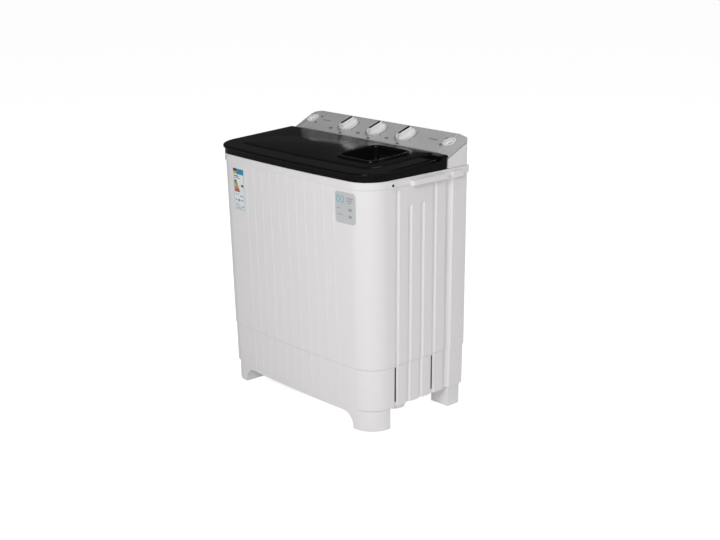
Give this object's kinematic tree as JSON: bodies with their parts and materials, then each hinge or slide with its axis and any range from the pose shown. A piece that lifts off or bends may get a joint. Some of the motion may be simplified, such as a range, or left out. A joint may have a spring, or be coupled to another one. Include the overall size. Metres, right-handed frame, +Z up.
{
  "type": "washing machine",
  "caption": "Twin-tub top load washing machine with two hinged lids, sloping control panel with rotary knobs, moulded base and feet, and a full washing and spinning drive inside",
  "frame": {"origin": "on the floor under the middle of the machine's bounding box", "axes": "+X to the machine's right seen from the front, +Y to its back, +Z up"},
  "size_m": [0.6866, 0.396, 0.7946],
  "materials": {
    "white_plastic": "moulded, satin",
    "white_gloss": "moulded, gloss",
    "black_gloss": "moulded, high gloss",
    "black_plastic": "moulded, satin",
    "silver_panel": "silver lacquer",
    "grey_plastic": "moulded",
    "tub_plastic": "moulded, smooth",
    "rubber": "moulded",
    "steel": "plated",
    "zinc": "zinc plated",
    "motor_iron": "lacquered laminations and bells"
  },
  "bodies": {
    "cabinet_body": {"lower_base": "white_plastic", "upper_cabinet": "white_plastic", "rear_cover": "white_plastic", "rear_cover_screws": "zinc", "foot_pads": "rubber", "top_frame": "white_plastic", "carry_handles": "white_plastic", "hose_hooks": "white_plastic", "hinge_blocks": "black_plastic", "hinge_pins": "steel", "control_housing": "white_plastic", "control_fascia": "silver_panel", "wash_timer_body": "grey_plastic", "drain_selector_body": "grey_plastic", "spin_timer_body": "grey_plastic", "inlet_sockets": "white_gloss", "fill_ducts": "white_plastic", "wash_tub": "tub_plastic", "gear_housing": "grey_plastic", "drive_belt": "rubber", "wash_motor": "motor_iron", "motor_bracket": "steel", "spin_casing": "tub_plastic", "bellows_seal": "rubber", "spin_motor": "motor_iron", "suspension_springs": "steel", "spring_cups": "rubber", "drain_valve_body": "grey_plastic", "drain_pipes": "grey_plastic", "overflow_pipe": "grey_plastic", "motor_capacitors": "grey_plastic", "cord_gland": "rubber"},
    "wash_lid_body": {"wash_lid": "black_gloss"},
    "spin_lid_body": {"spin_lid": "black_gloss"},
    "wash_timer_knob_body": {"wash_timer_knob": "white_gloss", "wash_timer_knob_insert": "black_plastic", "wash_timer_shaft": "grey_plastic"},
    "drain_selector_knob_body": {"drain_selector_knob": "white_gloss", "drain_selector_knob_insert": "black_plastic", "drain_selector_shaft": "grey_plastic"},
    "spin_timer_knob_body": {"spin_timer_knob": "white_gloss", "spin_timer_knob_insert": "black_plastic", "spin_timer_shaft": "grey_plastic"},
    "drain_plunger_body": {"drain_plunger": "rubber"},
    "pulsator_body": {"pulsator": "tub_plastic", "pulsator_screw": "grey_plastic", "pulsator_shaft": "steel", "pulsator_pulley": "grey_plastic"},
    "motor_pulley_body": {"motor_pulley": "grey_plastic"},
    "spin_basket_body": {"spin_basket": "tub_plastic", "hold_down_plate": "tub_plastic", "spin_shaft": "steel", "brake_drum": "steel"},
    "brake_lever_body": {"brake_lever": "steel", "brake_pad": "rubber"},
    "brake_rod_body": {"brake_rod": "steel"},
    "lint_filter_body": {"lint_filter": "tub_plastic"}
  },
  "joints": [
    {"name": "wash_lid_hinge", "type": "hinge", "parent": "cabinet_body", "child": "wash_lid_body", "pos_m": [-0.162, 0.0995, 0.739], "axis": [-1, 0, 0], "range_deg": [0, 95]},
    {"name": "spin_lid_hinge", "type": "hinge", "parent": "cabinet_body", "child": "spin_lid_body", "pos_m": [0.171, 0.0995, 0.739], "axis": [-1, 0, 0], "range_deg": [0, 95]},
    {"name": "wash_timer_turn", "type": "hinge", "parent": "cabinet_body", "child": "wash_timer_knob_body", "pos_m": [-0.122, 0.157, 0.76956], "axis": [0, 0.4384, -0.8988], "range_deg": [0, 270]},
    {"name": "drain_selector_turn", "type": "hinge", "parent": "cabinet_body", "child": "drain_selector_knob_body", "pos_m": [0, 0.157, 0.76956], "axis": [0, 0.4384, -0.8988], "range_deg": [0, 90]},
    {"name": "spin_timer_turn", "type": "hinge", "parent": "cabinet_body", "child": "spin_timer_knob_body", "pos_m": [0.122, 0.157, 0.76956], "axis": [0, 0.4384, -0.8988], "range_deg": [0, 270]},
    {"name": "drain_plunger_slide", "type": "slide", "parent": "cabinet_body", "child": "drain_plunger_body", "axis": [0, 0, 1], "range_m": [0, 0.012]},
    {"name": "pulsator_spin", "type": "hinge", "parent": "cabinet_body", "child": "pulsator_body", "pos_m": [-0.162, -0.033, 0.236], "axis": [0, 0, 1], "continuous": true},
    {"name": "motor_pulley_spin", "type": "hinge", "parent": "cabinet_body", "child": "motor_pulley_body", "pos_m": [-0.066, -0.114, 0.236], "axis": [0, 0, 1], "continuous": true},
    {"name": "spin_basket_spin", "type": "hinge", "parent": "cabinet_body", "child": "spin_basket_body", "pos_m": [0.171, -0.03, 0.3], "axis": [0, 0, 1], "continuous": true},
    {"name": "brake_lever_pivot", "type": "hinge", "parent": "cabinet_body", "child": "brake_lever_body", "pos_m": [0.171, 0.046, 0.2], "axis": [1, 0, 0], "range_deg": [0, 8]},
    {"name": "brake_rod_slide", "type": "slide", "parent": "cabinet_body", "child": "brake_rod_body", "axis": [0, 0, 1], "range_m": [0, 0.006]},
    {"name": "lint_filter_slide", "type": "slide", "parent": "cabinet_body", "child": "lint_filter_body", "axis": [0, 0, 1], "range_m": [0, 0.03]}
  ],
  "couplings": [
    {"joint": "motor_pulley_spin", "follows": "pulsator_spin", "ratio": 4.3333},
    {"joint": "drain_selector_turn", "follows": "drain_plunger_slide", "rad_per_m": 130.77},
    {"joint": "brake_lever_pivot", "follows": "spin_lid_hinge", "ratio": 0.084126},
    {"joint": "brake_rod_slide", "follows": "spin_lid_hinge", "m_per_rad": 0.003615}
  ]
}
